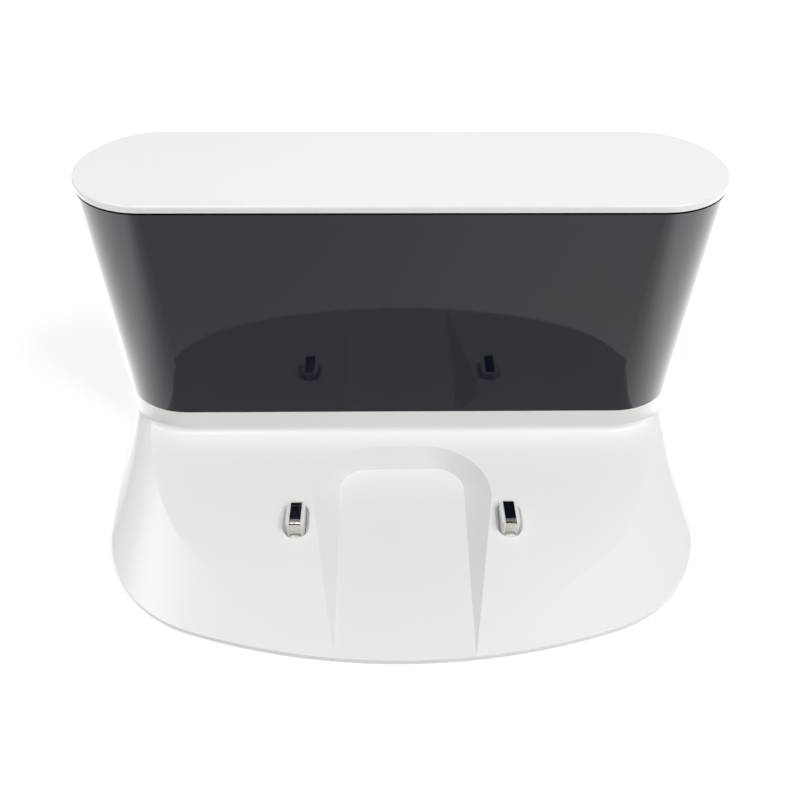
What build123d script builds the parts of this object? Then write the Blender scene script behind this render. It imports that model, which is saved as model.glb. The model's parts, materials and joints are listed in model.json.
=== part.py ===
from build123d import *
import os
from math import atan2, cos, degrees, hypot, radians, sin, sqrt, tan

# Robot vacuum charging dock, in millimetres. X runs across the dock, -Y is the side the robot drives in
# from, +Z is up. The origin is on the floor, under the middle of the dock's outline.

# Head: a block with rounded ends that stands on the rear of the base
head_width = 194.0          # across the top
head_taper = 1.7            # each end is this much further in at the lip under the signal window
head_depth = 47.0
overall_depth = 130.0
overall_height = 98.0
cover_thickness = 2.1       # visible rim of the top cover
cover_edge_radius = 0.6
cover_skirt = 4.4           # collar under the cover that locates it
skirt_wall = 1.4
cover_rib = 1.4
cover_rib_height = 2.4
cover_rib_spots = (-60.0, -20.0, 20.0, 60.0)
shadow_gap = 0.6            # dark line between cover and window
window_bottom = 20.3        # top of the white lip
window_wall = 2.0
window_tongue = 1.2         # rib of the rear shell behind the window's ends
tongue_reach = 4.0
window_ends = 15.0          # from the window's ends to the back of the dock

# Base
floor_gap = 0.8             # the feet stand this proud of the base
edge_top = 2.4              # top of the base's outer edge
ramp_top = 11.5             # height of the ramp where it meets the lip
shell_wall = 1.8
lip_fillet = 2.0            # hollow curve between ramp and lip
side_radius = 587.0         # the base's sides are slightly bowed
corner_start = 47.5         # from the base's front back to where its round corners begin
corner_radius = 44.0
shoulder_height = 14.0      # level at which the swept sides run out
shoulder_corner_radius = 22.8
shoulder_inset = 30.3       # centre of that corner, in from the lip's end
shoulder_setback = 24.5     # and back from the lip's front
shoulder_turn = 15.0        # degrees forward of sideways, where the corner begins
deck_top = 18.3             # inner floor of the head
plate_thickness = 1.2
plate_inset = 6.0           # bottom plate's edge, in from the base's edge
plate_ledge = 1.2           # ledge that the bottom plate rests against
ledge_thickness = 1.2
solid_nose = 9.0            # the base's front is solid this far back
lead_hole = 8.0             # opening in the deck for the leads

# Castor channel, sunk into the ramp
channel_half_width = 20.0   # of its floor
channel_setback = 10.7      # from the head's front to the foot of its rear wall
channel_rise = 0.6          # its floor is this much higher at the rear
channel_side_lean = 55.5    # degrees from upright
channel_back_lean = 24.0
channel_floor_corner = 8.0
channel_corner_growth = 2.1 # the corner's radius grows this much for each unit of height
channel_height = 14.0
channel_margin = 3.5        # room that the bottom plate leaves round its floor

# Charging contacts
contact_x = 33.6
contact_setback = 36.5      # from the head's front to a contact's middle
carrier_width = 5.8
carrier_length = 12.0
slot_flare = 1.0            # the slot's mouth is this much wider each side
slot_mouth_length = 13.0
slot_flare_depth = 1.2
flange_margin = 1.2         # flange's reach past the slot, each side
flange_thickness = 0.7
flange_overlap = 0.4        # flange's reach past the carrier's ends
collar_drop = 2.5           # from the ramp down to the stop that the flange meets
strip_width = 3.4
strip_thickness = 0.4
strip_bend = 4.8            # from a contact's middle forward to the strip's bend
strip_stand = 3.8           # height of the bend above the ramp
strip_fall = 0.6            # its top falls this much towards the rear
strip_reach = 9.9           # from the bend back to the rear leg
strip_lean = 0.65           # its front leg leans this far forward
strip_depth = 4.9           # from the bend down to the lower ends of its legs
strip_bend_radius = 1.0
strip_rear_radius = 0.5
strip_proud = 0.15          # above the carrier beside it
carrier_cap = 1.6           # between the strip and the top of the spring
spring_diameter = 4.0
spring_wire = 0.45
spring_turns = 5
guide_wall = 1.0
guide_pin_diameter = 1.6
guide_pin_height = 2.0
guide_ear_radius = 2.2
guide_ear_height = 1.4
guide_ear_margin = 1.8
terminal_thickness = 0.3
terminal_width = 3.0
terminal_margin = 4.0       # the tab's reach past the guide

# Cord store in the back of the head
store_half_width = 48.0
store_lift = 25.7           # from the lip up to its lower wall
store_drop = 12.0           # from the top of the dock down to its upper wall
store_depth = 22.0
post_half_width = 20.0
post_height = 12.0
post_wall = 1.8
post_flange = 5.0
post_flange_thickness = 1.6
post_recess = 3.0           # its flange is this far inside the back
exit_x = 36.0
exit_width = 7.5
exit_depth = 8.0

# Mains inlet, a two-pin figure-8 socket in the side wall of the cord store
inlet_setback = 12.6        # from the back of the dock
inlet_lift = 10.0           # above the store's lower wall
inlet_pin_pitch = 8.6
inlet_pin_diameter = 2.4
inlet_pin_length = 9.0
inlet_pin_tail = 3.5
inlet_cavity_radius = 3.7
inlet_cavity_depth = 11.0
inlet_waist = 5.2           # height of the cavity between its two round ends
inlet_wall = 1.2
inlet_corner = 1.5
inlet_back = 3.0
inlet_flange = 1.6
inlet_lug = 1.2

# Boards and what stands on them
board_thickness = 1.6
power_board_half_length = 58.0
power_board_front = 7.0     # from the head's front
power_board_rear = 12.5     # from the back of the dock
power_board_lift = 5.7      # above the deck
board_hole_margin = 4.0
transformer_x = -18.0
transformer_setback = 12.2  # from the board's front edge
transformer_core = (18.0, 16.0, 13.5)
transformer_bobbin = (13.0, 21.0, 3.0)
transformer_winding = (10.0, 19.2, 13.2)
transformer_core_lift = 1.5
capacitor_sizes = ((-42.0, 10.0, 15.5), (8.0, 8.0, 12.0), (20.0, 8.0, 12.0))
capacitor_crown = 0.8
emitter_board_half_length = 62.0
emitter_board_setback = 12.0
emitter_board_height = 22.0
emitter_board_drop = 18.0   # from the top of the dock
emitter_hole_x = 31.35
emitter_diameter = 5.0
emitter_length = 6.6
emitter_rim = 0.4
emitter_rim_thickness = 1.0
emitter_spots = (-52.0, -26.0, 0.0, 26.0, 52.0)
baffle_depth = 7.0
baffle_margin = 1.5
baffle_horn = 6.5           # radius of each horn's mouth

# Leads, as steps away from the middle of the dock, back and up
lead_diameter = 1.6
terminal_lead_steps = ((0.0, -1.0, 0.0), (0.0, 16.0, 0.0), (-4.0, 32.0, 0.3), (-14.0, 46.0, 1.4))
hole_lead_steps = ((4.0, -5.0, 5.0), (0.0, 0.0, 11.0))
pin_lead_steps = ((0.0, 0.0, 0.0), (4.0, 0.0, 0.0), (6.5, -2.0, -9.0))
board_lead_steps = ((19.5, 3.0, 14.0), (0.0, 0.0, 8.0), (0.0, 0.0, 0.0))
board_lead_margin = (8.0, 10.0)     # from the power board's end and rear edge
board_lead_spread = 3.0

# Feet, screws and clearances
foot_diameter = 14.0
foot_recess = 0.6
foot_edge_radius = 0.3
front_foot_x = 52.0
front_foot_setback = 23.0   # from the base's front
rear_foot_inset = 17.3      # in from the lip's end
rear_foot_setback = 21.0    # from the back
screw_diameter = 2.6
screw_head_diameter = 5.0
screw_head_height = 1.6
screw_edge_radius = 0.4
screw_recess = (2.6, 0.6, 0.7)
plate_screw_front = (56.0, 41.0)    # across, and back from the base's front
plate_screw_middle = (60.0, 6.0)    # across, and back from the head's front
plate_screw_rear = (14.0, 10.0)     # across, and forward from the back
head_screw_inner = (54.0, 4.5)      # across, and forward from the back
head_screw_outer = (8.9, 11.3)      # in from the lip's end, and forward from the back
boss_diameter = 6.4
boss_height = 12.0
head_screw_length = 11.8
board_screw_length = 6.6
emitter_screw_length = 8.6
fit_gap = 0.2               # between pieces that are pushed together by hand
screw_gap = 0.15            # round a screw's shank in the piece it clamps
slide_gap = 0.2             # round the sliding contacts
touch_gap = 0.1             # between a stop and what rests against it
overlap = 1.0               # how far a cut runs past the face it opens

# Worked out from the sizes above
head_waist_width = head_width - 2 * head_taper
back_y = overall_depth / 2
front_y = -overall_depth / 2
head_front_y = back_y - head_depth
end_radius = head_depth / 2
end_y = back_y - end_radius
cover_bottom = overall_height - cover_thickness
window_top = cover_bottom - shadow_gap
window_back_y = back_y - window_ends
ramp_slope = (ramp_top - edge_top) / (head_front_y - front_y)
plate_top = floor_gap + plate_thickness
channel_back_y = head_front_y - channel_setback
contact_y = head_front_y - contact_setback
contact_ramp_z = edge_top + ramp_slope * (contact_y - front_y)
strip_top = contact_ramp_z + strip_stand
strip_leg = strip_top - strip_depth
collar_bottom = contact_ramp_z - collar_drop
flange_bottom = collar_bottom - touch_gap - flange_thickness
slot_width = carrier_width + 2 * slide_gap
slot_length = carrier_length + 2 * slide_gap
spring_seat = plate_top + terminal_thickness
spring_top = strip_top - strip_fall - strip_thickness - carrier_cap
store_bottom = window_bottom + store_lift
store_top = overall_height - store_drop
store_front_y = back_y - store_depth
store_wall_y = store_front_y - shell_wall
store_mid_z = (store_bottom + store_top) / 2
inlet_y = back_y - inlet_setback
inlet_z = store_bottom + inlet_lift
power_board_y = (head_front_y + power_board_front, back_y - power_board_rear)
power_board_z = deck_top + power_board_lift
power_board_top = power_board_z + board_thickness
emitter_board_y = head_front_y + emitter_board_setback
emitter_board_top = overall_height - emitter_board_drop
emitter_board_z = (emitter_board_top - emitter_board_height, emitter_board_top)
emitter_z = sum(emitter_board_z) / 2
lead_hole_x = contact_x / 2
front_foot_y = front_y + front_foot_setback
rear_foot_x = head_waist_width / 2 - rear_foot_inset
rear_foot_y = back_y - rear_foot_setback
centred_low = (Align.CENTER, Align.CENTER, Align.MIN)


def both_sides(*spots):
    return [(side * x, y) for x, y in spots for side in (-1, 1)]


foot_spots = both_sides((front_foot_x, front_foot_y), (rear_foot_x, rear_foot_y))
plate_screw_spots = both_sides((plate_screw_front[0], front_y + plate_screw_front[1]),
                               (plate_screw_middle[0], head_front_y + plate_screw_middle[1]),
                               (plate_screw_rear[0], back_y - plate_screw_rear[1]))
head_screw_spots = both_sides((head_screw_inner[0], back_y - head_screw_inner[1]),
                              (head_waist_width / 2 - head_screw_outer[0], back_y - head_screw_outer[1]))
emitter_screw_spots = both_sides((emitter_hole_x, emitter_board_z[0] + board_hole_margin),
                                 (emitter_hole_x, emitter_board_z[1] - board_hole_margin))
board_screw_x = power_board_half_length - board_hole_margin
board_screw_spots = both_sides((board_screw_x, power_board_y[0] + board_hole_margin),
                               (board_screw_x, power_board_y[1] - board_hole_margin))
board_screw_hole = screw_diameter + 2 * screw_gap


def ramp_z(y):
    return edge_top + ramp_slope * (y - front_y)


def block(x0, x1, y0, y1, z0, z1):
    return Pos((x0 + x1) / 2, (y0 + y1) / 2, z0) * Box(x1 - x0, y1 - y0, z1 - z0, align=centred_low)


def rod(x, y, z0, z1, diameter):
    return Pos(x, y, z0) * Cylinder(diameter / 2, z1 - z0, align=centred_low)


def forward_rod(x, y, z, front, diameter):
    """A rod along the dock's depth, from y forward to front."""
    return Pos(x, y, z) * Rot(90, 0, 0) * Cylinder(diameter / 2, y - front, align=centred_low)


def arc(centre, start, end):
    mid = (Vector(*start) + Vector(*end)) / 2 - Vector(*centre)
    radius = hypot(start[0] - centre[0], start[1] - centre[1])
    return ThreePointArc(start, Vector(*centre) + mid.normalized() * radius, end)


def mirrored(points):
    return [(-x, y) for x, y in points]


# Outlines seen from above

def stadium(half_width, inset=0.0):
    """The head's outline: straight front and back, half-round ends."""
    x = half_width - end_radius
    near, far = head_front_y + inset, back_y - inset
    tip = half_width - inset
    return make_face([
        Line((-x, near), (x, near)),
        ThreePointArc((x, near), (tip, end_y), (x, far)),
        Line((x, far), (-x, far)),
        ThreePointArc((-x, far), (-tip, end_y), (-x, near)),
    ])


def front_arc(knee, corner, nose_y):
    """Centre and radius of the arc through the front point that runs smoothly into the corner arc."""
    drop = knee[1] - nose_y
    radius = (knee[0] ** 2 + drop ** 2 - corner ** 2) / (2 * (drop - corner))
    return (0.0, nose_y + radius), radius


def base_outline(side_edge, knee, corner, turn, nose_y, inset):
    """A rear edge and rear corners like the head's, sides, and a front arc between round corners."""
    half_width = head_waist_width / 2
    rear = (half_width - end_radius, end_y)
    nose, nose_radius = front_arc(knee, corner, nose_y)
    lean = atan2(knee[1] - nose[1], knee[0] - nose[0])
    a = (rear[0], back_y - inset)
    b = (half_width - inset, end_y)
    c = (knee[0] + (corner - inset) * cos(turn), knee[1] + (corner - inset) * sin(turn))
    d = ((nose_radius - inset) * cos(lean), nose[1] + (nose_radius - inset) * sin(lean))
    am, bm, cm, dm = mirrored([a, b, c, d])
    knee_m, rear_m = mirrored([knee, rear])
    return make_face([
        Line(am, a), arc(rear, a, b), side_edge(b, c, 1), arc(knee, c, d),
        ThreePointArc(d, (0.0, nose_y + inset), dm),
        arc(knee_m, dm, cm), side_edge(cm, bm, -1), arc(rear_m, bm, am),
    ])


def floor_outline(inset=0.0):
    """The base's edge: slightly bowed sides that run smoothly into the corners."""
    side_x = head_waist_width / 2 - side_radius
    drop = end_y - front_y - corner_start
    turn = -atan2(drop, sqrt(side_radius ** 2 - drop ** 2))
    reach = side_radius - corner_radius
    knee = (side_x + reach * cos(turn), end_y + reach * sin(turn))

    def bowed(start, end, side):
        return arc((side * side_x, end_y), start, end)

    return base_outline(bowed, knee, corner_radius, turn, front_y, inset)


def shoulder_outline(inset=0.0):
    """Where the swept sides run out, under the lip: inside the lip's own outline at the ends."""
    def straight(start, end, side):
        return Line(start, end)

    knee = (head_waist_width / 2 - shoulder_inset, head_front_y + shoulder_setback)
    return base_outline(straight, knee, shoulder_corner_radius, radians(-shoulder_turn), head_front_y, inset)


def slot_shape(width, length):
    return Rot(0, 0, 90) * SlotOverall(length, width)


def upright(face, z0, z1):
    return extrude(Pos(0, 0, z0) * face, z1 - z0)


def sideways(face, x0, x1):
    """A side view, drawn as depth and height, pulled out along the dock's width."""
    return extrude(Pos(x0, 0, 0) * (Plane.YZ * face), x1 - x0)


# The head's tapered body

def head_half_width(z):
    waist, top = head_waist_width / 2, head_width / 2
    return waist + (top - waist) * (z - window_bottom) / (overall_height - window_bottom)


def head_body(z0, z1, inset=0.0):
    ends = [Pos(0, 0, z) * stadium(head_half_width(z), inset) for z in (z0, z1)]
    return loft(ends, ruled=True)


def head_ring(z0, z1, outer, inner):
    return head_body(z0, z1, outer) - head_body(z0, z1, inner)


def front_part(y, margin=10.0):
    wide = head_width / 2 + margin
    return block(-wide, wide, front_y - margin, y, -margin, overall_height + margin)


def back_part(y, margin=10.0):
    wide = head_width / 2 + margin
    return block(-wide, wide, y, back_y + margin, -margin, overall_height + margin)


def head_wall():
    """Wall of the head with the stepped top edge that leaves the dark line under the cover."""
    step = window_wall * 0.6
    wall = head_ring(window_bottom, window_top, 0.0, window_wall)
    return wall + head_ring(window_top, cover_bottom, step, window_wall)


def make_top_cover():
    plate = head_body(cover_bottom, overall_height)
    plate = fillet(plate.faces().sort_by(Axis.Z)[-1].edges(), cover_edge_radius)
    outer = window_wall + fit_gap
    plate = plate + head_ring(cover_bottom - cover_skirt, cover_bottom, outer, outer + skirt_wall)
    reach = outer + skirt_wall / 2
    for x in cover_rib_spots:
        plate = plate + block(x - cover_rib / 2, x + cover_rib / 2, head_front_y + reach, back_y - reach,
                              cover_bottom - cover_rib_height, cover_bottom)
    return plate


def make_signal_window():
    return head_wall() & front_part(window_back_y)


def winding_post():
    front = store_front_y - shell_wall / 2
    outer = Pos(0, 0, store_mid_z) * Rot(-90, 0, 0) * SlotOverall(2 * post_half_width, post_height)
    back = back_y - post_recess
    stem = extrude(Pos(0, front, 0) * outer, back - front)
    rim = SlotOverall(2 * (post_half_width + post_flange), post_height + 2 * post_flange)
    rim = Pos(0, back - post_flange_thickness, store_mid_z) * Rot(-90, 0, 0) * rim
    hollow = SlotOverall(2 * (post_half_width - post_wall), post_height - 2 * post_wall)
    hollow = Pos(0, store_front_y, store_mid_z) * Rot(-90, 0, 0) * hollow
    return stem + extrude(rim, post_flange_thickness), extrude(hollow, store_depth)


def exit_block(x, z0, z1, grow):
    half = exit_width / 2 + grow
    return block(x - half, x + half, back_y - exit_depth - grow, back_y, z0, z1)


def exit_cut(x, z0, z1):
    return block(x - exit_width / 2, x + exit_width / 2, back_y - exit_depth, back_y + overlap, z0, z1)


def inlet_size(grow=0.0):
    half_y = inlet_pin_pitch / 2 + inlet_cavity_radius + inlet_wall + grow
    half_z = inlet_cavity_radius + inlet_wall + grow
    return half_y, half_z


def make_rear_shell():
    shell = head_wall() & back_part(window_back_y)
    tongue_in = window_wall + fit_gap
    tongue_top = cover_bottom - cover_skirt - window_tongue
    tongue = head_ring(window_bottom, tongue_top, tongue_in, tongue_in + window_tongue)
    root = head_ring(window_bottom, tongue_top, window_wall - fit_gap, tongue_in + window_tongue)
    near_end = front_part(window_back_y + window_tongue)
    shell = shell + (tongue & near_end & back_part(window_back_y - tongue_reach))
    shell = shell + (root & near_end & back_part(window_back_y))
    w = shell_wall
    store = block(-store_half_width - w, store_half_width + w, store_wall_y, back_y,
                  store_bottom - w, store_top + w)
    shell = shell + store
    for side in (-1, 1):
        shell = shell + exit_block(side * exit_x, window_bottom, store_bottom, w)
    shell = shell - block(-store_half_width, store_half_width, store_front_y, back_y + overlap,
                          store_bottom, store_top)
    for side in (-1, 1):
        shell = shell - exit_cut(side * exit_x, window_bottom - overlap, store_bottom + overlap)
    post, hollow = winding_post()
    shell = shell + post - hollow
    for x, y in head_screw_spots:
        boss = rod(x, y, window_bottom, window_bottom + boss_height, boss_diameter)
        foot = rod(x, y, deck_top + touch_gap, window_bottom, boss_diameter)
        shell = shell + (boss & head_body(window_bottom, window_top, window_wall / 2))
        shell = shell + (foot & head_body(deck_top, window_bottom, window_wall + fit_gap))
        shell = shell - rod(x, y, deck_top, window_bottom + boss_height - shell_wall, screw_diameter)
    for x, z in emitter_screw_spots:
        stem = forward_rod(x, store_wall_y + w / 2, z, emitter_board_y + board_thickness, boss_diameter)
        shell = shell + stem - forward_rod(x, store_wall_y, z, emitter_board_y, screw_diameter)
    half_y, half_z = inlet_size(fit_gap)
    return shell - block(-store_half_width - w - overlap, -store_half_width + overlap,
                         inlet_y - half_y, inlet_y + half_y, inlet_z - half_z, inlet_z + half_z)


# Base

def ramp_block(lowered=0.0):
    """Everything under the ramp, which runs on level behind the lip."""
    near, far, low = front_y - corner_radius, back_y + corner_radius, -deck_top
    profile = make_face(Polyline((near, low), (far, low), (far, ramp_z(far) - lowered),
                                 (near, ramp_z(near) - lowered), close=True))
    return sideways(profile, -head_width, head_width)


def swept_body(inset=0.0, lowered=0.0):
    low = edge_top - lowered
    high = shoulder_height - lowered
    skirt = loft([Pos(0, 0, low) * floor_outline(inset), Pos(0, 0, high) * shoulder_outline(inset)], ruled=True)
    return (skirt + upright(floor_outline(inset), min(floor_gap, low) - overlap, low)) & ramp_block(lowered)


def channel_tool(grow=0.0, bottom=edge_top, height=channel_height):
    """The channel's space, widening upwards from its floor; grow makes it thicker all round."""
    out = front_y - corner_radius

    def outline(half, rear, corner):
        return make_face([
            Line((half, out), (half, rear - corner)),
            arc((half - corner, rear - corner), (half, rear - corner), (half - corner, rear)),
            Line((half - corner, rear), (corner - half, rear)),
            arc((corner - half, rear - corner), (corner - half, rear), (-half, rear - corner)),
            Line((-half, rear - corner), (-half, out)),
            Line((-half, out), (half, out)),
        ])

    def level(z):
        side = channel_half_width + grow / cos(radians(channel_side_lean))
        rear = channel_back_y + grow / cos(radians(channel_back_lean))
        rise = z - edge_top
        return outline(side + rise * tan(radians(channel_side_lean)),
                       rear + rise * tan(radians(channel_back_lean)),
                       channel_floor_corner + grow + channel_corner_growth * max(rise, 0.0))

    low, high = level(bottom), level(bottom + height)
    return loft([Pos(0, 0, bottom) * low, Pos(0, 0, bottom + height) * high], ruled=True)


def channel_floor():
    """Wedge that lifts the channel's floor towards the rear."""
    wide = channel_half_width * 2
    rear = channel_back_y + channel_floor_corner
    profile = make_face(Polyline(
        (front_y - overlap, floor_gap), (rear, floor_gap), (rear, edge_top + channel_rise),
        (front_y, edge_top), (front_y - overlap, edge_top), close=True))
    return sideways(profile, -wide, wide)


def flange_shape(grow=0.0):
    return slot_shape(slot_width + 2 * (flange_margin + grow), carrier_length + 2 * (flange_overlap + grow))


def slot_tool():
    """A contact's slot, with a mouth that widens towards the ramp's surface."""
    slope = Pos(0, 0, contact_ramp_z) * Rot(degrees(atan2(ramp_slope, 1.0)), 0, 0)
    flare_y = (slot_mouth_length - slot_length) / 2
    narrow = slot_shape(slot_width, slot_length)
    wide = slot_shape(slot_width + 4 * slot_flare, slot_length + 4 * flare_y)
    ends = [Pos(0, 0, -slot_flare_depth) * narrow, Pos(0, 0, slot_flare_depth) * wide]
    return upright(slot_shape(slot_width, slot_length), -overlap, deck_top) + slope * loft(ends, ruled=True)


def at_contacts(shape):
    return [Pos(side * contact_x, contact_y, 0) * shape for side in (-1, 1)]


def make_base_shell():
    waist = head_waist_width / 2
    body = swept_body() + upright(stadium(waist), 0.0, window_bottom)
    lip_edges = body.edges().filter_by(GeomType.LINE).filter_by(Axis.X)
    lip_edges = lip_edges.filter_by_position(Axis.Y, head_front_y - touch_gap, head_front_y + touch_gap)
    lip_edges = lip_edges.filter_by_position(Axis.Z, ramp_top - touch_gap, ramp_top + touch_gap)
    body = fillet(lip_edges, lip_fillet)

    cavity = swept_body(shell_wall, shell_wall)
    cavity = cavity + upright(stadium(waist, shell_wall), -overlap, deck_top - shell_wall)
    cavity = cavity & block(-head_width, head_width, front_y + solid_nose, back_y, -2 * overlap, overall_height)
    cavity = cavity - channel_tool(shell_wall, -overlap, deck_top)
    ledge = floor_outline() - floor_outline(plate_inset + plate_ledge)
    cavity = cavity - upright(ledge, -2 * overlap, plate_top + ledge_thickness)
    body = body - cavity
    body = body - upright(stadium(waist, window_wall), deck_top, window_bottom + overlap)
    body = body - (channel_tool() - channel_floor())
    body = body - (upright(floor_outline(plate_inset - fit_gap), 0.0, plate_top) - plate_keep_out())

    for side in (-1, 1):
        body = body + exit_block(side * exit_x, floor_gap, deck_top, shell_wall)
        body = body - exit_cut(side * exit_x, 0.0, window_bottom + overlap)

    inside = swept_body(shell_wall / 2, shell_wall / 2) + upright(stadium(waist, shell_wall / 2), 0.0, deck_top)
    for x, y in plate_screw_spots:
        body = body + (rod(x, y, plate_top, deck_top, boss_diameter) & inside)
        body = body - rod(x, y, 0.0, min(ramp_z(y) - shell_wall, deck_top - shell_wall), screw_diameter)
    collar = upright(flange_shape(slide_gap + guide_wall), collar_bottom, deck_top)
    for piece in at_contacts(collar):
        body = body + (piece & inside)
    for piece in at_contacts(slot_tool()):
        body = body - piece
    for x, y in board_screw_spots:
        body = body + rod(x, y, deck_top - shell_wall / 2, power_board_z, boss_diameter)
        body = body - rod(x, y, deck_top, power_board_z + overlap, screw_diameter)
    under_deck = deck_top - shell_wall - overlap
    for x, y in head_screw_spots:
        body = body - rod(x, y, under_deck, window_bottom, screw_diameter + 2 * screw_gap)
    for side in (-1, 1):
        body = body - rod(side * lead_hole_x, end_y, under_deck, deck_top + overlap, lead_hole)
    return body - block(-head_width, head_width, front_y - overlap, back_y + overlap, -deck_top, floor_gap)


def plate_keep_out(grow=0.0):
    """Where the bottom plate leaves room: the channel and the two cord exits."""
    half = channel_half_width + channel_margin - grow
    rear = channel_back_y + channel_margin - grow
    room = block(-half, half, front_y - overlap, rear, -overlap, plate_top + overlap)
    for side in (-1, 1):
        room = room + exit_block(side * exit_x, -overlap, plate_top + overlap, shell_wall - grow)
    return room


def guide_ear_reach():
    return carrier_length / 2 + flange_overlap + slide_gap + guide_wall + guide_ear_margin


def guide_ear_spots(side):
    reach = guide_ear_reach()
    return [(side * contact_x, contact_y + sign * reach) for sign in (-1, 1)]


def make_base_plate():
    plate = upright(floor_outline(plate_inset), floor_gap, plate_top) - plate_keep_out(-fit_gap)
    for x, y in foot_spots:
        plate = plate - rod(x, y, 0.0, floor_gap + foot_recess, foot_diameter + 2 * touch_gap)
    for x, y in plate_screw_spots:
        plate = plate - rod(x, y, 0.0, plate_top + overlap, screw_diameter + 2 * screw_gap)
        plate = plate - rod(x, y, 0.0, floor_gap + plate_thickness / 2, screw_head_diameter + 2 * screw_gap)
    for side in (-1, 1):
        for x, y in guide_ear_spots(side):
            low, high = plate_top - plate_thickness / 2, plate_top + guide_pin_height
            plate = plate + rod(x, y, low, high, guide_pin_diameter)
    return plate


def make_foot(x, y):
    pad = rod(x, y, 0.0, floor_gap + foot_recess, foot_diameter)
    return fillet(pad.faces().sort_by(Axis.Z)[0].edges(), foot_edge_radius)


# Charging contacts, each built round its own upright axis and then moved into place

def make_contact_guide():
    cup = upright(flange_shape(slide_gap + guide_wall), plate_top, collar_bottom - 2 * touch_gap)
    reach = guide_ear_reach()
    ear_top = plate_top + guide_ear_height
    for sign in (-1, 1):
        web = sorted((sign * reach, sign * (reach - guide_ear_margin - guide_wall / 2)))
        cup = cup + rod(0, sign * reach, plate_top, ear_top, 2 * guide_ear_radius)
        cup = cup + block(-guide_ear_radius, guide_ear_radius, *web, plate_top, ear_top)
    cup = cup - upright(flange_shape(slide_gap), 0.0, overall_height)
    for sign in (-1, 1):
        cup = cup - rod(0, sign * reach, 0.0, deck_top, guide_pin_diameter + 2 * touch_gap)
    tab = terminal_width / 2 + touch_gap
    side = slot_width + 2 * (flange_margin + guide_wall)
    return cup - block(0.0, side, -tab, tab, 0.0, plate_top + terminal_thickness + touch_gap)


def make_contact_terminal():
    """Brass disc under the spring with a tab out through the guide's side, away from the middle of the dock."""
    disc = rod(0, 0, plate_top, spring_seat, spring_diameter + 2 * terminal_thickness)
    return disc + block(0.0, terminal_reach(), -terminal_width / 2, terminal_width / 2, plate_top, spring_seat)


def terminal_reach():
    return slot_width / 2 + flange_margin + slide_gap + guide_wall + terminal_margin


def make_contact_spring():
    mean = (spring_diameter - spring_wire) / 2
    low, high = spring_seat + spring_wire / 2, spring_top - spring_wire / 2
    coil = Helix((high - low) / spring_turns, high - low, mean)
    wire = Plane(origin=coil @ 0, z_dir=coil % 0) * Circle(spring_wire / 2)
    spring = sweep(wire, path=coil, is_frenet=True)
    return Pos(0, 0, low) * spring


def strip_hat(leg, inset=0.0):
    """Side view of all that lies under the strip's outer face: rear leg, sloping top, bend, front leg."""
    bend = -strip_bend
    rear = bend + strip_reach
    outline = make_face(Polyline(
        (rear, leg), (rear, strip_top - strip_fall), (bend, strip_top), (bend - strip_lean, leg), close=True))
    rear_corner, bend_corner = outline.vertices().sort_by(Axis.Y)[-2:]
    outline = fillet(bend_corner, strip_bend_radius)
    outline = fillet(outline.vertices().sort_by_distance((rear, strip_top - strip_fall))[0], strip_rear_radius)
    return offset(outline, -inset, kind=Kind.INTERSECTION) if inset else outline


def make_contact_strip():
    band = strip_hat(strip_leg) - strip_hat(strip_leg - 2 * strip_thickness, strip_thickness)
    return sideways(band, -strip_width / 2, strip_width / 2)


def make_contact_carrier():
    """White plunger whose top follows the strip, with a groove for the strip and a pocket for the spring."""
    stem = upright(slot_shape(carrier_width, carrier_length), flange_bottom, overall_height)
    bend = -strip_bend
    top = strip_top - strip_proud
    front = bend - strip_lean
    far = carrier_length
    profile = make_face(Polyline(
        (-far, 0.0), (far, 0.0), (far, top - strip_fall), (bend + strip_reach, top - strip_fall), (bend, top),
        (front, strip_leg), (-far, strip_leg), close=True))
    carrier = stem & sideways(profile, -carrier_width, carrier_width)
    wide = strip_width / 2 + touch_gap / 2
    seat = strip_thickness + touch_gap / 2
    rear = bend + strip_reach + touch_gap / 2
    cover = make_face(Polyline((-far, strip_leg), (rear, strip_leg), (rear, strip_top + overlap),
                               (-far, strip_top + overlap), close=True))
    groove = cover - strip_hat(strip_leg - 3 * strip_thickness, seat)
    carrier = carrier - sideways(groove, -wide, wide)
    carrier = carrier + upright(flange_shape(), flange_bottom, flange_bottom + flange_thickness)
    return carrier - rod(0, 0, 0.0, spring_top, spring_diameter + 2 * slide_gap)


# Electrics

def make_power_board():
    half = power_board_half_length
    board = block(-half, half, *power_board_y, power_board_z, power_board_top)
    for x, y in board_screw_spots:
        board = board - rod(x, y, power_board_z - overlap, power_board_top + overlap, board_screw_hole)
    return board


def make_emitter_board():
    half = emitter_board_half_length
    front, rear = emitter_board_y, emitter_board_y + board_thickness
    board = block(-half, half, front, rear, *emitter_board_z)
    for x, z in emitter_screw_spots:
        board = board - forward_rod(x, rear + overlap, z, front - overlap, board_screw_hole)
    return board


def make_transformer():
    def centred(size, lift=0.0):
        x, y, z = size
        middle = Pos(transformer_x, power_board_y[0] + transformer_setback, power_board_top + lift)
        return middle * Box(x, y, z, align=centred_low)

    core = centred(transformer_core, transformer_core_lift)
    winding = centred(transformer_winding)
    core = fillet(core.edges().filter_by(Axis.Z), transformer_core_lift / 2)
    winding = fillet(winding.edges().filter_by(Axis.Z), transformer_core_lift)
    return core + centred(transformer_bobbin) + winding


def make_capacitors():
    cans = Part()
    y = (emitter_board_y + board_thickness + store_wall_y) / 2
    for x, diameter, height in capacitor_sizes:
        can = rod(x, y, power_board_top, power_board_top + height, diameter)
        cans = cans + fillet(can.faces().sort_by(Axis.Z)[-1].edges(), capacitor_crown)
    return cans


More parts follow.
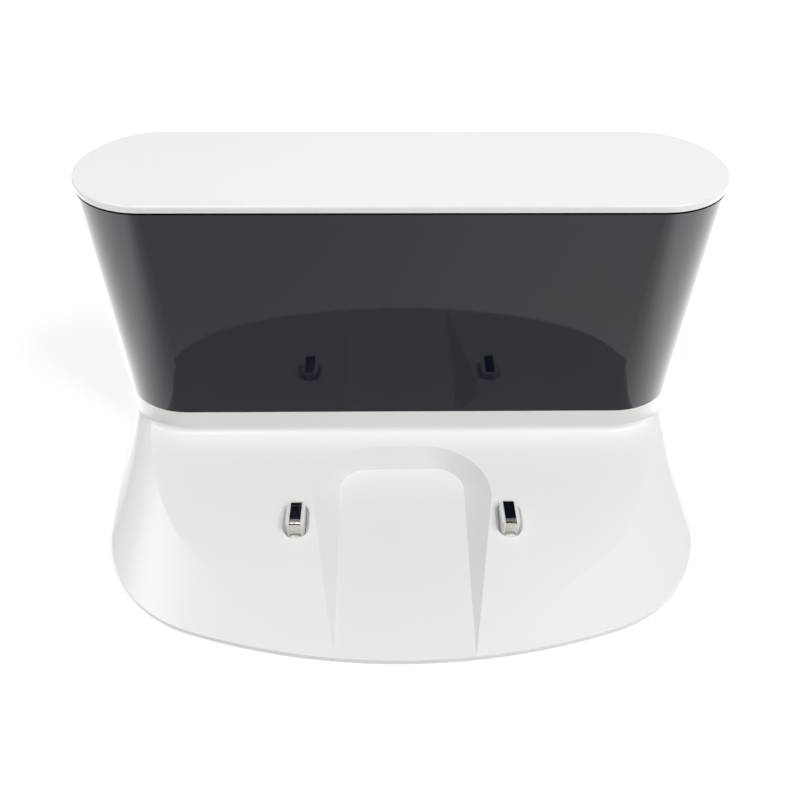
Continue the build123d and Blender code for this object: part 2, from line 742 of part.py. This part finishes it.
def make_emitters():
    radius = emitter_diameter / 2
    tip = emitter_board_y - emitter_length
    lamps = Part()
    for x in emitter_spots:
        lamp = forward_rod(x, emitter_board_y, emitter_z, tip + radius, emitter_diameter)
        lamp = lamp + Pos(x, tip + radius, emitter_z) * Sphere(radius)
        rim = forward_rod(x, emitter_board_y, emitter_z, emitter_board_y - emitter_rim_thickness,
                          emitter_diameter + 2 * emitter_rim)
        lamps = lamps + lamp + rim
    return lamps


def make_light_baffle():
    low, high = emitter_board_z[0] + baffle_margin, emitter_board_z[1] - baffle_margin
    half = emitter_board_half_length - baffle_margin
    bar = block(-half, half, emitter_board_y - baffle_depth, emitter_board_y, low, high)
    throat = emitter_diameter / 2 + emitter_rim + fit_gap
    horn = Cone(throat, baffle_horn, baffle_depth, align=centred_low)
    for x in emitter_spots:
        bar = bar - Pos(x, emitter_board_y, emitter_z) * Rot(90, 0, 0) * horn
    for x, z in emitter_screw_spots:
        bar = bar - forward_rod(x, emitter_board_y, z, emitter_board_y - screw_head_height - fit_gap,
                                screw_head_diameter + 2 * fit_gap)
    return bar


# Mains inlet

def figure_eight(radius, waist):
    shape = Rectangle(inlet_pin_pitch, waist)
    for side in (-1, 1):
        shape = shape + Pos(side * inlet_pin_pitch / 2, 0) * Circle(radius)
    return shape


def towards_store(face, x0, x1):
    """A flat shape, drawn with X along the dock's depth, pulled out along the dock's width."""
    return sideways(Pos(inlet_y, inlet_z) * face, x0, x1)


def make_mains_inlet():
    mouth = -store_half_width
    half_y, half_z = inlet_size()
    rear = mouth - inlet_cavity_depth - inlet_back
    body = towards_store(RectangleRounded(2 * half_y, 2 * half_z, inlet_corner), rear, mouth)
    wall_back = mouth - shell_wall
    lugs = Rectangle(2 * (half_y + inlet_lug), 2 * (half_z + inlet_lug))
    lugs = towards_store(lugs, wall_back - inlet_flange, wall_back)
    socket_end = mouth - inlet_cavity_depth
    cavity = towards_store(figure_eight(inlet_cavity_radius, inlet_waist), socket_end, mouth + overlap)
    inlet = body + lugs - cavity
    for side in (-1, 1):
        hole = Pos(side * inlet_pin_pitch / 2, 0) * Circle(inlet_pin_diameter / 2)
        inlet = inlet - towards_store(hole, rear - overlap, mouth)
    return inlet


def make_inlet_pins():
    mouth = -store_half_width
    rear = mouth - inlet_cavity_depth - inlet_back
    pins = Part()
    for side in (-1, 1):
        pin = Pos(side * inlet_pin_pitch / 2, 0) * Circle(inlet_pin_diameter / 2)
        pin = towards_store(pin, rear - inlet_pin_tail, mouth - inlet_cavity_depth + inlet_pin_length)
        pins = pins + chamfer(pin.faces().sort_by(Axis.X)[-1].edges(), inlet_pin_diameter / 5)
    return pins


# Leads

def lead(points, diameter=lead_diameter):
    """A round lead along straight runs joined by the largest arcs that the runs allow."""
    spots = [Vector(*p) for p in points]
    radii = []
    for before, here, after in zip(spots, spots[1:], spots[2:]):
        turn = radians((here - before).get_angle(after - here))
        run = min((here - before).length, (after - here).length)
        radii.append(0.45 * run / tan(turn / 2))
    path = FilletPolyline(*spots, radius=radii)
    return sweep(Plane(origin=path @ 0, z_dir=path % 0) * Circle(diameter / 2), path=path)


def steps_from(x, y, z, steps, side=1):
    return [(x + side * away, y + back, z + up) for away, back, up in steps]


def make_contact_lead(side):
    start_x = side * (contact_x + terminal_reach() - lead_diameter)
    start_z = spring_seat + (lead_diameter + touch_gap) / 2
    hole_x = side * lead_hole_x
    along_base = steps_from(start_x, contact_y, start_z, terminal_lead_steps, side)
    into_hole = steps_from(hole_x, end_y, start_z, hole_lead_steps, side)
    return lead(along_base + into_hole + [(hole_x, end_y, power_board_z)])


def make_mains_lead(row):
    start_x = -store_half_width - inlet_cavity_depth - inlet_back - inlet_pin_tail
    start_y = inlet_y + row * inlet_pin_pitch / 2
    end_x = -power_board_half_length + board_lead_margin[0]
    row_y = power_board_y[1] - board_lead_margin[1] + row * board_lead_spread
    from_pin = steps_from(start_x, start_y, inlet_z, pin_lead_steps, -1)
    to_board = steps_from(end_x, row_y, power_board_top, board_lead_steps, -1)
    return lead(from_pin + to_board)


# Screws, each node a set of like screws

def screw(reach, head_height=screw_head_height):
    """Head up at z = 0, shank down."""
    shank = rod(0, 0, -reach, 0.0, screw_diameter)
    head = Cylinder(screw_head_diameter / 2, head_height, align=centred_low)
    length, width, depth = screw_recess
    recess = Pos(0, 0, head_height) * (Box(length, width, 2 * depth) + Box(width, length, 2 * depth))
    return shank + fillet(head.faces().sort_by(Axis.Z)[-1].edges(), screw_edge_radius) - recess


def make_plate_screws():
    seat = floor_gap + plate_thickness / 2
    screws = Part()
    for x, y in plate_screw_spots:
        reach = min(ramp_z(y), deck_top) - shell_wall - seat - fit_gap
        screws = screws + Pos(x, y, seat) * Rot(180, 0, 0) * screw(reach, plate_thickness / 2)
    return screws


def make_head_screws():
    screws = Part()
    for x, y in head_screw_spots:
        screws = screws + Pos(x, y, deck_top - shell_wall) * Rot(180, 0, 0) * screw(head_screw_length)
    return screws


def make_board_screws():
    screws = Part()
    for x, y in board_screw_spots:
        screws = screws + Pos(x, y, power_board_top) * screw(board_screw_length)
    return screws


def make_emitter_screws():
    screws = Part()
    for x, z in emitter_screw_spots:
        screws = screws + Pos(x, emitter_board_y, z) * Rot(90, 0, 0) * screw(emitter_screw_length)
    return screws


# Write one file for each node

os.makedirs("parts", exist_ok=True)

pieces = {
    "top_cover": make_top_cover(),
    "signal_window": make_signal_window(),
    "rear_shell": make_rear_shell(),
    "base_shell": make_base_shell(),
    "base_plate": make_base_plate(),
    "power_board": make_power_board(),
    "transformer": make_transformer(),
    "capacitors": make_capacitors(),
    "emitter_board": make_emitter_board(),
    "emitters": make_emitters(),
    "light_baffle": make_light_baffle(),
    "mains_inlet": make_mains_inlet(),
    "inlet_pins": make_inlet_pins(),
    "mains_lead_live": make_mains_lead(1),
    "mains_lead_neutral": make_mains_lead(-1),
    "plate_screws": make_plate_screws(),
    "head_screws": make_head_screws(),
    "board_screws": make_board_screws(),
    "emitter_screws": make_emitter_screws(),
}
for name, (x, y) in zip(("front_left", "front_right", "rear_left", "rear_right"), foot_spots):
    pieces["foot_" + name] = make_foot(x, y)
contact_pieces = {
    "contact_strip_": make_contact_strip(),
    "contact_carrier_": make_contact_carrier(),
    "contact_spring_": make_contact_spring(),
    "contact_guide_": make_contact_guide(),
    "contact_terminal_": make_contact_terminal(),
}
for name, side in (("left", -1), ("right", 1)):
    at_contact = Pos(side * contact_x, contact_y, 0)
    for node, shape in contact_pieces.items():
        pieces[node + name] = at_contact * (shape if side > 0 else mirror(shape, about=Plane.YZ))
    pieces["contact_lead_" + name] = make_contact_lead(side)

for name, shape in pieces.items():
    export_step(shape, "parts/" + name + ".step")
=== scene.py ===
import json
import math
import bmesh
import bpy
from mathutils import Matrix, Vector


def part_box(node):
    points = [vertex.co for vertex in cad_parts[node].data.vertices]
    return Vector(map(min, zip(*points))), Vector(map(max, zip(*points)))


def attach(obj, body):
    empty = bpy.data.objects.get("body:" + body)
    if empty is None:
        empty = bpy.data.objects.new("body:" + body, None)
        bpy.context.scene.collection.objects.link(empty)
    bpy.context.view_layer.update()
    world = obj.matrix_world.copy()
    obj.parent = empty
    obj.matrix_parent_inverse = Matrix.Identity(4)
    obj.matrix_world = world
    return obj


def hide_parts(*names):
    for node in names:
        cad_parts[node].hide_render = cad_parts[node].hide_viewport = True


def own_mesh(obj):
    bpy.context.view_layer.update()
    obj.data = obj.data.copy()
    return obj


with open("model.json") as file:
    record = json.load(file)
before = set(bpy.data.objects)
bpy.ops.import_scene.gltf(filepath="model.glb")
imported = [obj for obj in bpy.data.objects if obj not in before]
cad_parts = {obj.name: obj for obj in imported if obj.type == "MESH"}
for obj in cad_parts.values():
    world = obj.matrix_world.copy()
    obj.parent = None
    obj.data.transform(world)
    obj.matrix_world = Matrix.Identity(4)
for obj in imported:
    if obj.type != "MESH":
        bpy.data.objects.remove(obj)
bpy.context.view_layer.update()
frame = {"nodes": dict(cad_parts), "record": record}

nodes = frame["nodes"]

# Materials: a cloud varies the colour and roughness, and a finer grain is the bump

surface = {"metallic": 0.0, "ior": 1.5, "roughSpread": 0.04,
           "cloud": 0.02, "cloudSize": 0.03, "cloudDetail": 3.0,
           "grainSize": 0.0004, "grainDepth": 0.04, "grainDetail": 2.0}
looks = {
    "white_shell": {"colour": (0.80, 0.803, 0.783), "rough": 0.28, "roughSpread": 0.006, "cloud": 0.003},
    "white_underside": {"colour": (0.74, 0.74, 0.73), "rough": 0.55, "grainDepth": 0.3},
    "smoked_window": {"colour": (0.002, 0.005, 0.014), "ior": 1.45, "rough": 0.05, "roughSpread": 0.01,
                      "grainDepth": 0.002, "grainSize": 0.012, "cloudSize": 0.05},
    "white_carrier": {"colour": (0.74, 0.74, 0.73), "rough": 0.45, "grainDepth": 0.1},
    "contact_metal": {"colour": (0.72, 0.70, 0.65), "metallic": 1.0, "rough": 0.07, "grainDepth": 0.24,
                      "grainSize": 0.0003, "cloudSize": 0.0005, "cloud": 0.22, "stretch": (0.12, 1.0, 1.0),
                      "bowFrom": -0.0205, "bowRate": 100.0},
    "spring_steel": {"colour": (0.50, 0.50, 0.51), "metallic": 1.0, "rough": 0.28, "cloudSize": 0.001},
    "black_plastic": {"colour": (0.018, 0.018, 0.019), "rough": 0.5, "grainDepth": 0.25, "cloud": 0.2},
    "grey_plastic": {"colour": (0.34, 0.34, 0.35), "rough": 0.5, "grainDepth": 0.2},
    "brass": {"colour": (0.72, 0.56, 0.28), "metallic": 1.0, "rough": 0.24, "cloudSize": 0.002,
              "cloud": 0.12},
    "board_green": {"colour": (0.012, 0.11, 0.045), "rough": 0.32, "grainSize": 0.0012, "grainDepth": 0.12,
                    "cloudSize": 0.006, "cloud": 0.25},
    "transformer_tape": {"colour": (0.62, 0.47, 0.06), "rough": 0.38, "cloudSize": 0.004, "cloud": 0.12},
    "capacitor_sleeve": {"colour": (0.015, 0.02, 0.06), "rough": 0.25, "cloudSize": 0.004, "cloud": 0.15},
    "emitter_lens": {"colour": (0.03, 0.012, 0.035), "rough": 0.08, "cloud": 0.1},
    "lead_red": {"colour": (0.42, 0.02, 0.02), "rough": 0.42},
    "lead_black": {"colour": (0.014, 0.014, 0.015), "rough": 0.42},
    "lead_brown": {"colour": (0.12, 0.045, 0.02), "rough": 0.42},
    "lead_blue": {"colour": (0.02, 0.07, 0.32), "rough": 0.42},
    "screw_steel": {"colour": (0.52, 0.52, 0.54), "metallic": 1.0, "rough": 0.3, "cloudSize": 0.001,
                    "cloud": 0.1},
    "foot_rubber": {"colour": (0.20, 0.20, 0.205), "rough": 0.8, "grainDepth": 0.5, "cloud": 0.08},
}
noiseRange = {"low": 0.3, "high": 0.7}                  # where most of a noise texture's values lie
colourSocket = {"first": 6, "second": 7, "mixed": 2}    # where a Mix node keeps its colours
white = (1.0, 1.0, 1.0, 1.0)


def addNode(tree, kind, **values):
    node = tree.nodes.new(kind)
    for key, value in values.items():
        if key in node.inputs:
            node.inputs[key].default_value = value
        else:
            setattr(node, key, value)
    return node


def readObject(tree):
    return tree.nodes.new("ShaderNodeTexCoord").outputs["Object"]


def splitAxes(tree, vector):
    split = tree.nodes.new("ShaderNodeSeparateXYZ")
    tree.links.new(vector, split.inputs["Vector"])
    return split.outputs


def combine(tree, operation, *values):
    node = addNode(tree, "ShaderNodeMath", operation=operation)
    for socket, value in zip(node.inputs, values):
        if isinstance(value, float):
            socket.default_value = value
        else:
            tree.links.new(value, socket)
    return node.outputs["Value"]


def remap(tree, value, start, end, low, high, curve):
    node = addNode(tree, "ShaderNodeMapRange", interpolation_type=curve)
    for name, number in (("From Min", start), ("From Max", end), ("To Min", low), ("To Max", high)):
        node.inputs[name].default_value = number
    tree.links.new(value, node.inputs["Value"])
    return node.outputs["Result"]


def fade(tree, value, start, end, low, high):
    return remap(tree, value, start, end, low, high, "SMOOTHSTEP")


def spread(tree, texture, low, high):
    return remap(tree, texture, noiseRange["low"], noiseRange["high"], low, high, "LINEAR")


def noise(tree, place, size, detail):
    texture = addNode(tree, "ShaderNodeTexNoise", Scale=1.0 / size, Detail=detail)
    tree.links.new(place, texture.inputs["Vector"])
    return texture.outputs["Fac"]


def shade(colour, share):
    return tuple(min(1.0, channel * share) for channel in colour) + (1.0,)


def bow(tree, look):
    # the sprung strips curve down gently towards their bend
    ahead = combine(tree, "SUBTRACT", look["bowFrom"], splitAxes(tree, readObject(tree))["Y"])
    ahead = combine(tree, "MAXIMUM", ahead, 0.0)
    fall = combine(tree, "MULTIPLY", combine(tree, "POWER", ahead, 2.0), -look["bowRate"])
    bump = addNode(tree, "ShaderNodeBump", Strength=1.0, Distance=1.0)
    tree.links.new(fall, bump.inputs["Height"])
    return bump.outputs["Normal"]


def makeMaterial(name, look):
    look = {**surface, **look}
    material = bpy.data.materials.new(name)
    material.use_nodes = True
    tree = material.node_tree
    shader = tree.nodes["Principled BSDF"]
    shader.inputs["Metallic"].default_value = look["metallic"]
    shader.inputs["IOR"].default_value = look["ior"]
    place = readObject(tree)
    if "stretch" in look:
        mapping = addNode(tree, "ShaderNodeMapping", Scale=look["stretch"])
        tree.links.new(place, mapping.inputs["Vector"])
        place = mapping.outputs["Vector"]
    cloud = noise(tree, place, look["cloudSize"], look["cloudDetail"])
    grain = noise(tree, place, look["grainSize"], look["grainDetail"])
    mix = addNode(tree, "ShaderNodeMix", data_type="RGBA")
    mix.inputs[colourSocket["first"]].default_value = shade(look["colour"], 1.0 - look["cloud"])
    mix.inputs[colourSocket["second"]].default_value = shade(look["colour"], 1.0 + look["cloud"])
    tree.links.new(spread(tree, cloud, 0.0, 1.0), mix.inputs["Factor"])
    tree.links.new(mix.outputs[colourSocket["mixed"]], shader.inputs["Base Color"])
    smoothest, roughest = look["rough"] - look["roughSpread"], look["rough"] + look["roughSpread"]
    tree.links.new(spread(tree, cloud, smoothest, roughest), shader.inputs["Roughness"])
    bump = addNode(tree, "ShaderNodeBump", Strength=look["grainDepth"], Distance=look["grainSize"])
    tree.links.new(grain, bump.inputs["Height"])
    if "bowRate" in look:
        tree.links.new(bow(tree, look), bump.inputs["Normal"])
    tree.links.new(bump.outputs["Normal"], shader.inputs["Normal"])
    return material


materials = {name: makeMaterial(name, look) for name, look in looks.items()}
for part in frame["record"]["subparts"]:
    for slot in nodes[part["node"]].material_slots:
        slot.material = materials[part["material_slot"]]
print("materials", len(materials))

# Springs under the contacts: round wire with closed end coils

spring = {"wire": 0.00045, "openTurns": 4, "wireSides": 10, "stepsPerTurn": 28}


def windCoil(bm, radius, height):
    wire = spring["wire"]
    ring = bmesh.ops.create_circle(bm, segments=spring["wireSides"], radius=wire / 2)["verts"]
    bmesh.ops.rotate(bm, verts=ring, cent=(0, 0, 0), matrix=Matrix.Rotation(math.pi / 2, 3, "X"))
    bmesh.ops.translate(bm, verts=ring, vec=(radius, 0, wire / 2))
    coil = bm.verts[:] + bm.edges[:]
    openRise = height - 3 * wire        # less two closed end coils and the wire itself
    for turns, rise in ((1, wire), (spring["openTurns"], openRise), (1, wire)):
        steps = turns * spring["stepsPerTurn"]
        coil = bmesh.ops.spin(bm, geom=coil, cent=(0, 0, 0), axis=(0, 0, 1), dvec=(0, 0, rise / steps),
                              angle=math.tau * turns, steps=steps, use_duplicate=False)["geom_last"]
    bmesh.ops.holes_fill(bm, edges=[edge for edge in bm.edges if edge.is_boundary], sides=0)
    bmesh.ops.recalc_face_normals(bm, faces=bm.faces)
    for face in bm.faces:
        face.smooth = len(face.verts) == 4      # the two cut ends stay flat


def makeSpring(side):
    node, press = "contact_spring_" + side, "contact_" + side + "_press"
    low, high = (Vector(corner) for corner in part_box(node))
    seat = Vector(((low.x + high.x) / 2, (low.y + high.y) / 2, low.z))
    height = high.z - low.z
    bm = bmesh.new()
    windCoil(bm, (high.x - low.x - spring["wire"]) / 2, height)
    bmesh.ops.translate(bm, verts=bm.verts, vec=seat)
    mesh = bpy.data.meshes.new("spring_" + side)
    bm.to_mesh(mesh)
    bm.free()
    mesh.materials.append(materials["spring_steel"])
    piece = bpy.data.objects.new("spring_" + side, mesh)
    bpy.context.scene.collection.objects.link(piece)
    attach(piece, "dock")
    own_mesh(piece)
    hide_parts(node)


for side in ("left", "right"):
    makeSpring(side)
print("springs")

# Stage: a pale floor that the camera sees white, and that is brighter to the sides for what mirrors it

floorLook = {"colour": (0.66, 0.66, 0.66), "rough": 0.7, "grainSize": 0.002, "cloudSize": 0.4,
             "cloud": 0.004}
floorWidth = 6.0
floorSeen = {"from": 0.14, "to": 0.55, "near": 0.46, "far": 0.88}       # glow by distance, for the camera
floorMirrored = {"reach": 0.11, "left": 1.10, "right": 1.48,                    # glow across the dock
                 "sidesFrom": 0.115, "sidesTo": 0.20, "sides": 1.9,             # and past its ends
                 "depthFrom": 0.105, "depthShare": 0.45,                        # nearer to them at the back
                 "endFrom": 0.24, "endTo": 0.42, "endShare": 0.15}              # and fading far out


def rayMatches(tree, *kinds):
    path = tree.nodes.new("ShaderNodeLightPath")
    total = path.outputs[kinds[0]]
    for kind in kinds[1:]:
        total = combine(tree, "MAXIMUM", total, path.outputs[kind])
    return total


def glowSeen(tree, distance):
    glow = floorSeen
    seen = fade(tree, distance, glow["from"], glow["to"], glow["near"], glow["far"])
    return combine(tree, "MULTIPLY", seen, rayMatches(tree, "Is Camera Ray"))


def glowMirrored(tree, axes, distance):
    glow = floorMirrored
    across = fade(tree, axes["X"], -glow["reach"], glow["reach"], glow["left"], glow["right"])
    depth = combine(tree, "ADD", axes["Y"], glow["depthFrom"])
    depth = combine(tree, "MULTIPLY", depth, glow["depthShare"])
    away = combine(tree, "ADD", combine(tree, "ABSOLUTE", axes["X"]), depth)
    sides = fade(tree, away, glow["sidesFrom"], glow["sidesTo"], 0.0, glow["sides"])
    ending = fade(tree, distance, glow["endFrom"], glow["endTo"], 1.0, glow["endShare"])
    return combine(tree, "ADD", across, combine(tree, "MULTIPLY", sides, ending))


def brightenFloor(tree):
    place = readObject(tree)
    length = addNode(tree, "ShaderNodeVectorMath", operation="LENGTH")
    tree.links.new(place, length.inputs["Vector"])
    distance = length.outputs["Value"]
    shader = tree.nodes["Principled BSDF"]
    shader.inputs["Emission Color"].default_value = white
    tree.links.new(glowSeen(tree, distance), shader.inputs["Emission Strength"])
    mirrored = addNode(tree, "ShaderNodeEmission")
    tree.links.new(glowMirrored(tree, splitAxes(tree, place), distance), mirrored.inputs["Strength"])
    choice = addNode(tree, "ShaderNodeMixShader")
    glossy = rayMatches(tree, "Is Glossy Ray", "Is Transmission Ray")
    for source, socket in zip((glossy, shader.outputs["BSDF"], mirrored.outputs["Emission"]), choice.inputs):
        tree.links.new(source, socket)
    tree.links.new(choice.outputs["Shader"], tree.nodes["Material Output"].inputs["Surface"])


def makeFloor():
    bm = bmesh.new()
    bmesh.ops.create_grid(bm, x_segments=1, y_segments=1, size=floorWidth / 2)
    mesh = bpy.data.meshes.new("floor")
    bm.to_mesh(mesh)
    bm.free()
    paper = makeMaterial("floor", floorLook)
    brightenFloor(paper.node_tree)
    mesh.materials.append(paper)
    floor = bpy.data.objects.new("floor", mesh)
    bpy.context.scene.collection.objects.link(floor)


makeFloor()
print("floor")

# Lights: two soft boxes in front, a fill behind that nothing mirrors, and two boxes that are only mirrored

lights = [
    {"name": "rightBox", "at": (0.62, -0.40, 1.0), "to": (0.0, 0.0, 0.03), "size": 0.5, "power": 7.6},
    {"name": "leftBox", "at": (-0.35, -0.40, 1.0), "to": (0.0, 0.0, 0.03), "size": 0.5, "power": 5.0},
    {"name": "backFill", "at": (0.0, 1.1, 0.24), "to": (0.0, 0.05, 0.05), "size": 0.4, "power": 2.7,
     "mirrored": False},
    {"name": "leftSheen", "at": (-0.63, 0.33, 1.00), "to": (-0.075, -0.03, 0.008), "size": 0.28, "power": 1.6,
     "lighting": False},
    {"name": "rightSheen", "at": (0.45, 0.36, 1.09), "to": (0.075, -0.03, 0.008), "size": 0.28, "power": 0.45,
     "lighting": False},
]


def makeLight(light):
    data = bpy.data.lights.new(light["name"], "AREA")
    data.shape = "SQUARE"
    data.size = light["size"]
    data.energy = light["power"]
    lamp = bpy.data.objects.new(light["name"], data)
    lamp.location = light["at"]
    aim = Vector(light["to"]) - Vector(light["at"])
    lamp.rotation_euler = aim.to_track_quat("-Z", "Y").to_euler()
    lamp.visible_diffuse = light.get("lighting", True)
    lamp.visible_glossy = light.get("mirrored", True)
    bpy.context.scene.collection.objects.link(lamp)


for light in lights:
    makeLight(light)
print("lights", len(lights))

# Room: white to the camera, softer where it lights the dock, and dim in front for what mirrors it

room = {"lighting": 0.30, "dim": 0.04, "dimFrom": 0.02, "whiteFrom": 0.68}


def makeRoom():
    world = bpy.data.worlds.new("room")
    bpy.context.scene.world = world
    world.use_nodes = True
    tree = world.node_tree
    axes = splitAxes(tree, tree.nodes.new("ShaderNodeTexCoord").outputs["Generated"])
    mirrored = fade(tree, axes["Y"], room["dimFrom"], room["whiteFrom"], room["dim"], 1.0)
    glossy = rayMatches(tree, "Is Glossy Ray", "Is Transmission Ray")
    seen = rayMatches(tree, "Is Camera Ray")
    lighting = combine(tree, "SUBTRACT", 1.0, combine(tree, "MAXIMUM", glossy, seen))
    shown = combine(tree, "ADD", seen, combine(tree, "MULTIPLY", glossy, mirrored))
    level = combine(tree, "ADD", shown, combine(tree, "MULTIPLY", lighting, room["lighting"]))
    background = tree.nodes["Background"]
    background.inputs["Color"].default_value = white
    tree.links.new(level, background.inputs["Strength"])


makeRoom()
print("room")

# Camera, at the photograph's angle

view = {"at": (-0.00467, -0.1953, 0.2202), "turn": 1.119, "down": 42.38, "roll": 0.503,     # m and degrees
        "focal": 867.76, "imageWidth": 800.0,                                               # pixels
        "sensor": 36.0, "nearest": 0.005}                                                   # mm and m


def makeCamera():
    data = bpy.data.cameras.new("camera")
    data.sensor_width = view["sensor"]
    data.lens = view["focal"] * view["sensor"] / view["imageWidth"]
    data.clip_start = view["nearest"]
    camera = bpy.data.objects.new("camera", data)
    turn = Matrix.Rotation(math.radians(-view["turn"]), 4, "Z")
    tilt = Matrix.Rotation(math.radians(90.0 - view["down"]), 4, "X")
    roll = Matrix.Rotation(math.radians(view["roll"]), 4, "Z")
    camera.matrix_world = Matrix.Translation(view["at"]) @ turn @ tilt @ roll
    bpy.context.scene.collection.objects.link(camera)
    bpy.context.scene.camera = camera


makeCamera()
bpy.context.scene.view_settings.view_transform = "Standard"
print("camera")
